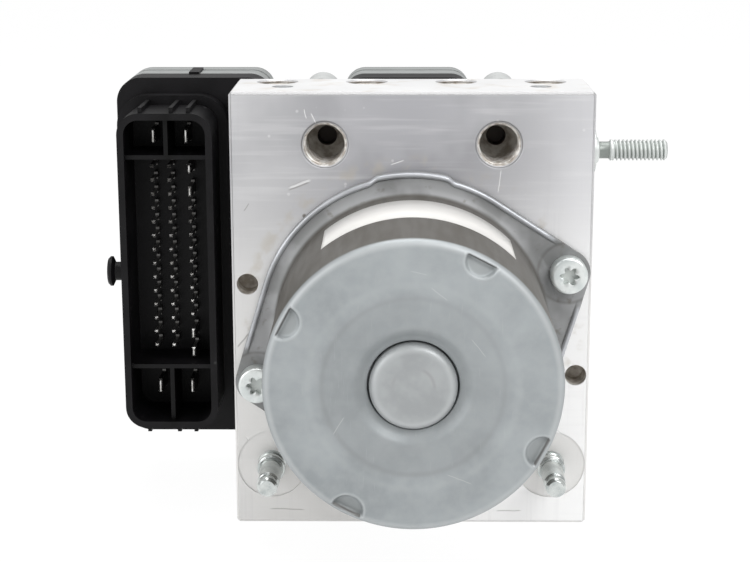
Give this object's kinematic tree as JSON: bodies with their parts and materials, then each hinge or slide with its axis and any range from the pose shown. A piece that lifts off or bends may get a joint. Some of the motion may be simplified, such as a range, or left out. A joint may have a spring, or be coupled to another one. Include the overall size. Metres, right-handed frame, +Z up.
{
  "type": "abs brake module",
  "caption": "Electronic brake control module: drilled block with line ports and studs, drum-shaped pump motor in front, black control unit with a plug socket behind.",
  "frame": {"origin": "middle of the block's underside", "axes": "+Z up as it is fitted, -Y towards the pump motor, +X towards the side stud"},
  "size_m": [0.1571, 0.1205, 0.1249],
  "materials": {
    "block_aluminium": "milled, with light scratches",
    "zinc_steel": "zinc plated",
    "can_steel": "zinc coated, satin",
    "unit_plastic": "glass-filled moulding",
    "cover_aluminium": "cast, satin",
    "tinned_metal": "tinned",
    "copper": "enamelled wire",
    "bright_steel": "ground",
    "anodised_aluminium": "hard anodised",
    "spring_wire": "drawn",
    "ferrite": "sintered",
    "rubber_black": "moulded",
    "board_laminate": "solder mask",
    "carbon": "pressed carbon"
  },
  "bodies": {
    "module": {"hydraulic_block": "block_aluminium", "sealing_balls": "zinc_steel", "front_studs": "zinc_steel", "side_stud": "zinc_steel", "motor_housing": "can_steel", "bearing_cap": "can_steel", "motor_screws": "zinc_steel", "magnets": "ferrite", "rear_bearing": "bright_steel", "front_bearing": "bright_steel", "brush_holder": "unit_plastic", "motor_terminals": "tinned_metal", "motor_gasket": "rubber_black", "valve_coils": "copper", "ecu_housing": "unit_plastic", "ecu_cover": "cover_aluminium", "circuit_board": "board_laminate", "connector_pins": "tinned_metal", "ecu_seal": "rubber_black", "ecu_screws": "zinc_steel", "inlet_valve_1": "bright_steel", "inlet_valve_2": "bright_steel", "inlet_valve_3": "bright_steel", "inlet_valve_4": "bright_steel", "outlet_valve_1": "bright_steel", "outlet_valve_2": "bright_steel", "outlet_valve_3": "bright_steel", "outlet_valve_4": "bright_steel", "pump_sleeve_left": "bright_steel", "pump_plug_left": "bright_steel", "pump_spring_left": "spring_wire", "accumulator_cap_left": "bright_steel", "accumulator_spring_left": "spring_wire", "brush_spring_left": "spring_wire", "pump_sleeve_right": "bright_steel", "pump_plug_right": "bright_steel", "pump_spring_right": "spring_wire", "accumulator_cap_right": "bright_steel", "accumulator_spring_right": "spring_wire", "brush_spring_right": "spring_wire"},
    "rotor": {"motor_shaft": "bright_steel", "armature_core": "bright_steel", "armature_winding": "copper", "commutator": "copper"},
    "pump_ring": {"pump_ring": "bright_steel", "needle_rollers": "bright_steel"},
    "pump_piston_left": {"pump_piston_left": "bright_steel"},
    "accumulator_piston_left": {"accumulator_piston_left": "anodised_aluminium"},
    "brush_left": {"brush_left": "carbon"},
    "pump_piston_right": {"pump_piston_right": "bright_steel"},
    "accumulator_piston_right": {"accumulator_piston_right": "anodised_aluminium"},
    "brush_right": {"brush_right": "carbon"},
    "inlet_plunger_1": {"inlet_plunger_1": "bright_steel"},
    "inlet_plunger_2": {"inlet_plunger_2": "bright_steel"},
    "inlet_plunger_3": {"inlet_plunger_3": "bright_steel"},
    "inlet_plunger_4": {"inlet_plunger_4": "bright_steel"},
    "outlet_plunger_1": {"outlet_plunger_1": "bright_steel"},
    "outlet_plunger_2": {"outlet_plunger_2": "bright_steel"},
    "outlet_plunger_3": {"outlet_plunger_3": "bright_steel"},
    "outlet_plunger_4": {"outlet_plunger_4": "bright_steel"}
  },
  "joints": [
    {"name": "rotor_spin", "type": "hinge", "parent": "module", "child": "rotor", "pos_m": [0, -0.0155, 0.0584], "axis": [0, -1, 0], "continuous": true},
    {"name": "ring_spin", "type": "hinge", "parent": "rotor", "child": "pump_ring", "pos_m": [0, -0.001, 0.0593], "axis": [0, -1, 0], "continuous": true},
    {"name": "pump_stroke_left", "type": "slide", "parent": "module", "child": "pump_piston_left", "axis": [-1, 0, 0], "range_m": [0, 0.0018], "stiffness_N_per_m": 2000, "springref_m": -0.003, "deforming": ["pump_spring_left"]},
    {"name": "accumulator_stroke_left", "type": "slide", "parent": "module", "child": "accumulator_piston_left", "axis": [0, 0, -1], "range_m": [0, 0.008], "stiffness_N_per_m": 600, "springref_m": -0.006, "deforming": ["accumulator_spring_left"]},
    {"name": "brush_wear_left", "type": "slide", "parent": "module", "child": "brush_left", "axis": [-1, 0, 0], "range_m": [0, 0.002], "stiffness_N_per_m": 300, "springref_m": -0.005, "deforming": ["brush_spring_left"]},
    {"name": "pump_stroke_right", "type": "slide", "parent": "module", "child": "pump_piston_right", "axis": [1, 0, 0], "range_m": [0, 0.0018], "stiffness_N_per_m": 2000, "springref_m": -0.003, "deforming": ["pump_spring_right"]},
    {"name": "accumulator_stroke_right", "type": "slide", "parent": "module", "child": "accumulator_piston_right", "axis": [0, 0, -1], "range_m": [0, 0.008], "stiffness_N_per_m": 600, "springref_m": -0.006, "deforming": ["accumulator_spring_right"]},
    {"name": "brush_wear_right", "type": "slide", "parent": "module", "child": "brush_right", "axis": [1, 0, 0], "range_m": [0, 0.002], "stiffness_N_per_m": 300, "springref_m": -0.005, "deforming": ["brush_spring_right"]},
    {"name": "inlet_lift_1", "type": "slide", "parent": "module", "child": "inlet_plunger_1", "axis": [0, 1, 0], "range_m": [0, 0.0003], "stiffness_N_per_m": 1500, "springref_m": -0.001},
    {"name": "inlet_lift_2", "type": "slide", "parent": "module", "child": "inlet_plunger_2", "axis": [0, 1, 0], "range_m": [0, 0.0003], "stiffness_N_per_m": 1500, "springref_m": -0.001},
    {"name": "inlet_lift_3", "type": "slide", "parent": "module", "child": "inlet_plunger_3", "axis": [0, 1, 0], "range_m": [0, 0.0003], "stiffness_N_per_m": 1500, "springref_m": -0.001},
    {"name": "inlet_lift_4", "type": "slide", "parent": "module", "child": "inlet_plunger_4", "axis": [0, 1, 0], "range_m": [0, 0.0003], "stiffness_N_per_m": 1500, "springref_m": -0.001},
    {"name": "outlet_lift_1", "type": "slide", "parent": "module", "child": "outlet_plunger_1", "axis": [0, 1, 0], "range_m": [0, 0.0003], "stiffness_N_per_m": 1500, "springref_m": -0.001},
    {"name": "outlet_lift_2", "type": "slide", "parent": "module", "child": "outlet_plunger_2", "axis": [0, 1, 0], "range_m": [0, 0.0003], "stiffness_N_per_m": 1500, "springref_m": -0.001},
    {"name": "outlet_lift_3", "type": "slide", "parent": "module", "child": "outlet_plunger_3", "axis": [0, 1, 0], "range_m": [0, 0.0003], "stiffness_N_per_m": 1500, "springref_m": -0.001},
    {"name": "outlet_lift_4", "type": "slide", "parent": "module", "child": "outlet_plunger_4", "axis": [0, 1, 0], "range_m": [0, 0.0003], "stiffness_N_per_m": 1500, "springref_m": -0.001}
  ]
}
